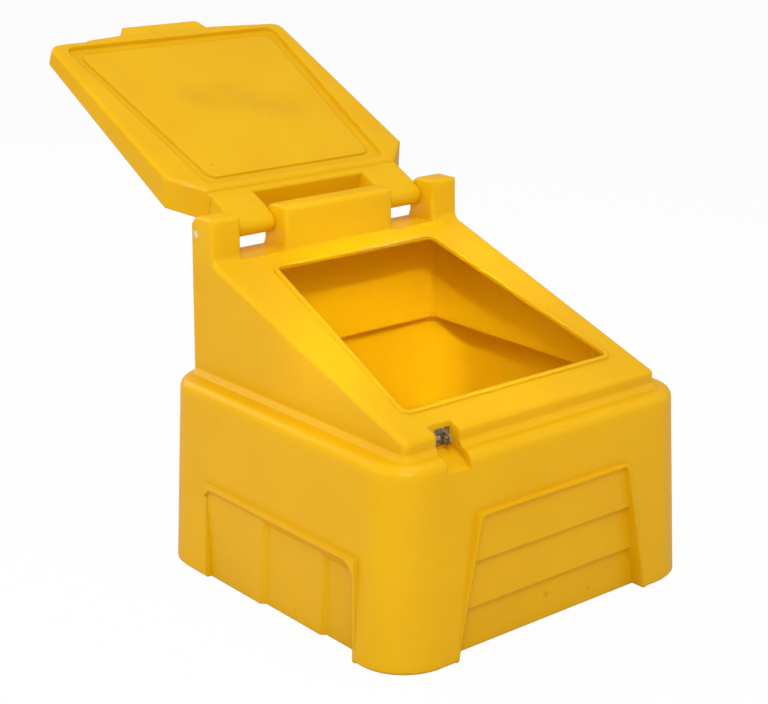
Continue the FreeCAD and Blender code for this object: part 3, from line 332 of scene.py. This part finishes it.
def on_side_round(place):
    """Moves a point of a horn's surface onto the round between the horn's side and its crest.
    The ears' outer back corners are left alone, because the body's upright corners are round there."""
    if place.y < HORN_FRONT or place.z < HORN_FLOOR + ON_FLOOR:
        return place
    depth, out = crest_depth(place)
    reach = min(1, (place.z - HORN_FLOOR) / RUN_OUT) * SIDE_ROUND
    for low, high in HORNS:
        for edge, side in ((low, -1), (high, 1)):
            across = (edge - place.x) * side
            outer_back = out.y > UPRIGHT and edge in (HORNS[0][0], HORNS[-1][1])
            if -LEAN < across < reach and depth < reach and not outer_back:
                gap = Vector((reach - across, reach - depth)).length
                if gap > reach:
                    shrink = 1 - reach / gap
                    return (place - Vector((side * (reach - across) * shrink, 0, 0))
                            - out * (reach - depth) * shrink)
    return place


def horn_faces(shape, level):
    """The horns' faces that lie wholly above a level."""
    return [face for face in shape.faces
            if min(vert.co.z for vert in face.verts) > level * MM
            and max(vert.co.y for vert in face.verts) > HORN_FRONT * MM]


def cut(shape, faces, point, normal, remove=False):
    """Cuts faces along a plane. With remove, what lies beyond it is taken away and the cut is closed."""
    # each edge and vertex once, in an order that is the same in every run
    edges = dict.fromkeys(edge for face in faces for edge in face.edges)
    verts = dict.fromkeys(vert for face in faces for vert in face.verts)
    bmesh.ops.bisect_plane(shape, geom=[*faces, *edges, *verts], dist=ON_PLANE * MM,
                           plane_co=Vector(point) * MM, plane_no=normal, clear_outer=remove)
    if remove:
        bmesh.ops.holes_fill(shape, edges=[edge for edge in shape.edges if edge.is_boundary])


def shape_horns(shape):
    """Rolls the three crests over to the back and rounds the horns' sides."""
    above = [face for face in shape.faces if max(vert.co.z for vert in face.verts) > ROUNDED_FROM * MM]
    cut(shape, above, (0, 0, ROUNDED_FROM), (0, 0, 1))
    outward = [Vector((0, cos(radians(turn)), sin(radians(turn)))) for turn in CROWN_TURNS]
    centre = Vector((0, HORN_BACK - CROWN, HORN_TOP - CROWN))
    # levels above which faces are cut: the whole horns, what is above the first cut, and the crown
    whole = HORN_FLOOR - ON_FLOOR
    upper = ROUNDED_FROM - ON_CUT
    crown = HORN_TOP - CROWN - BELOW_CROWN
    for out in outward:
        cut(shape, horn_faces(shape, upper), centre + out * CROWN, out, remove=True)
    for step in [SIDE_ROUND * (1 - tan(radians(turn))) for turn in SIDE_TURNS]:
        for low, high in HORNS:
            cut(shape, horn_faces(shape, whole), (low + step, 0, 0), (1, 0, 0))
            cut(shape, horn_faces(shape, whole), (high - step, 0, 0), (1, 0, 0))
        cut(shape, horn_faces(shape, upper), (0, 0, HORN_TOP - step), (0, 0, 1))
        cut(shape, horn_faces(shape, whole), (0, HORN_BACK - step, HORN_TOP), (0, 1, HORN_BACK_LEAN))
        for out in outward:
            cut(shape, horn_faces(shape, crown), centre + out * (CROWN - step), out)
    for vert in shape.verts:
        vert.co = on_side_round(vert.co / MM) * MM


def rounded_body(cad):
    """A closed copy of the body, with its horns' crests and sides rounded, that replaces it."""
    mesh = cad.data.copy()
    shape = bmesh.new()
    shape.from_mesh(mesh)
    bmesh.ops.remove_doubles(shape, verts=shape.verts, dist=WELD * MM)
    shape_horns(shape)
    moved = [vert for vert in shape.verts if vert.co.z > (HORN_FLOOR + ON_FLOOR) * MM]
    bmesh.ops.remove_doubles(shape, verts=moved, dist=SLIVER * MM)
    bmesh.ops.triangulate(shape, faces=[face for face in shape.faces if len(face.verts) > 4])
    bmesh.ops.recalc_face_normals(shape, faces=shape.faces)
    shape.to_mesh(mesh)
    shape.free()
    if "custom_normal" in mesh.attributes:
        mesh.attributes.remove(mesh.attributes["custom_normal"])
    mesh.shade_smooth()
    mesh.set_sharp_from_angle(angle=radians(SHARP_ANGLE))
    body = bpy.data.objects.new("bin_body_rounded", mesh)
    bpy.context.scene.collection.objects.link(body)
    weighted = body.modifiers.new("flat faces first", "WEIGHTED_NORMAL")
    weighted.keep_sharp = True
    bpy.context.view_layer.objects.active = body
    bpy.ops.object.modifier_apply(modifier=weighted.name)
    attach(body, "bin")
    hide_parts("bin_body")


# Lamps of the studio: where each stands and what it aims at, its width in metres, the spread of its
# light in degrees and its watts. Five are wide softboxes round and above the bin, and the grid lamp's
# narrow light reaches down into the opening.
LAMPS = {
    "key": ((-2.3, -2.9, 3.2), (0, 0, 0.4), 2.0, 180, 115),
    "fill": ((3.4, -2.0, 2.4), (0, 0, 0.4), 2.4, 180, 16),
    "top": ((0.2, -0.6, 4.2), (0, 0, 0), 2.0, 180, 50),
    "side": ((-3.2, 0.9, 2.2), (0, 0.4, 0.7), 2.0, 180, 29),
    "back": ((-0.8, 4.4, 2.5), (0, 0.2, 0.5), 2.4, 180, 65),
    "grid": ((-1.21, -1.64, 1.96), (0.09, 0.15, 0.40), 0.42, 7, 0.52),
}
# Width of the floor in metres, how much of it is plain white to the camera, and the strength of the
# surrounding light on the bin and to the camera
FLOOR_WIDTH = 60
FLOOR_GLOW = 0.95
WORLD_ON_BIN = 0.5
WORLD_SEEN = 1.0

# The camera has the photograph's viewing angle. Its place is in metres, its turns away from the bin's
# front and down from level are in degrees, its film and lens are in millimetres, and its shift is a
# share of the film's width.
CAMERA_PLACE = (-2.0514, -2.3998, 1.4303)
CAMERA_TURN = 40.007
CAMERA_DOWN = 17.74
FILM_WIDTH = 36
FOCAL_LENGTH = 83.4
SIDE_SHIFT = -0.0318


def studio_floor():
    """A pale matt floor that the camera sees nearly white, with a faint shadow of the bin."""
    bpy.ops.mesh.primitive_plane_add(size=FLOOR_WIDTH, location=(0, 0, 0))
    floor = bpy.context.object
    floor.name = "studio_floor"
    material = new_material("white studio floor")
    tree = material.node_tree
    matt = add_node(tree, "ShaderNodeBsdfDiffuse", {"Color": linear("#DEDEDE")})
    glow = add_node(tree, "ShaderNodeEmission", {"Color": (1, 1, 1, 1), "Strength": 1.0})
    seen = add_node(tree, "ShaderNodeLightPath", {})
    share = add_node(tree, "ShaderNodeMath", {
        "operation": "MULTIPLY", 0: seen.outputs["Is Camera Ray"], 1: FLOOR_GLOW})
    both = add_node(tree, "ShaderNodeMixShader", {
        "Fac": share.outputs[0], 1: matt.outputs["BSDF"], 2: glow.outputs["Emission"]})
    add_node(tree, "ShaderNodeOutputMaterial", {"Surface": both.outputs["Shader"]})
    floor.data.materials.append(material)


def studio_world():
    """A white surrounding, which is weaker as a light on the bin than the camera sees it."""
    world = bpy.data.worlds.new("studio")
    bpy.context.scene.world = world
    world.use_nodes = True
    tree = world.node_tree
    background = tree.nodes["Background"]
    background.inputs["Color"].default_value = (1, 1, 1, 1)
    seen = add_node(tree, "ShaderNodeLightPath", {})
    level = add_node(tree, "ShaderNodeMapRange", {
        "Value": seen.outputs["Is Camera Ray"], "To Min": WORLD_ON_BIN, "To Max": WORLD_SEEN})
    tree.links.new(level.outputs["Result"], background.inputs["Strength"])


def studio_lamps():
    """The square lamps of the table above, each turned to what it aims at."""
    for name, (spot, aim, width, spread, watts) in LAMPS.items():
        lamp = bpy.data.lights.new(name, "AREA")
        lamp.shape = "SQUARE"
        lamp.size = width
        lamp.spread = radians(spread)
        lamp.energy = watts
        holder = bpy.data.objects.new(name, lamp)
        holder.location = spot
        holder.rotation_euler = (Vector(aim) - Vector(spot)).to_track_quat("-Z", "Y").to_euler()
        bpy.context.scene.collection.objects.link(holder)


def camera():
    """The camera, from the place and angles above."""
    lens = bpy.data.cameras.new("camera")
    lens.sensor_width = FILM_WIDTH
    lens.lens = FOCAL_LENGTH
    lens.shift_x = SIDE_SHIFT
    holder = bpy.data.objects.new("camera", lens)
    holder.location = CAMERA_PLACE
    holder.rotation_euler = (radians(90 - CAMERA_DOWN), 0, radians(-CAMERA_TURN))
    bpy.context.scene.collection.objects.link(holder)
    bpy.context.scene.camera = holder


rounded_body(nodes["bin_body"])
studio_floor()
studio_world()
studio_lamps()
camera()
bpy.context.scene.view_settings.view_transform = "Standard"
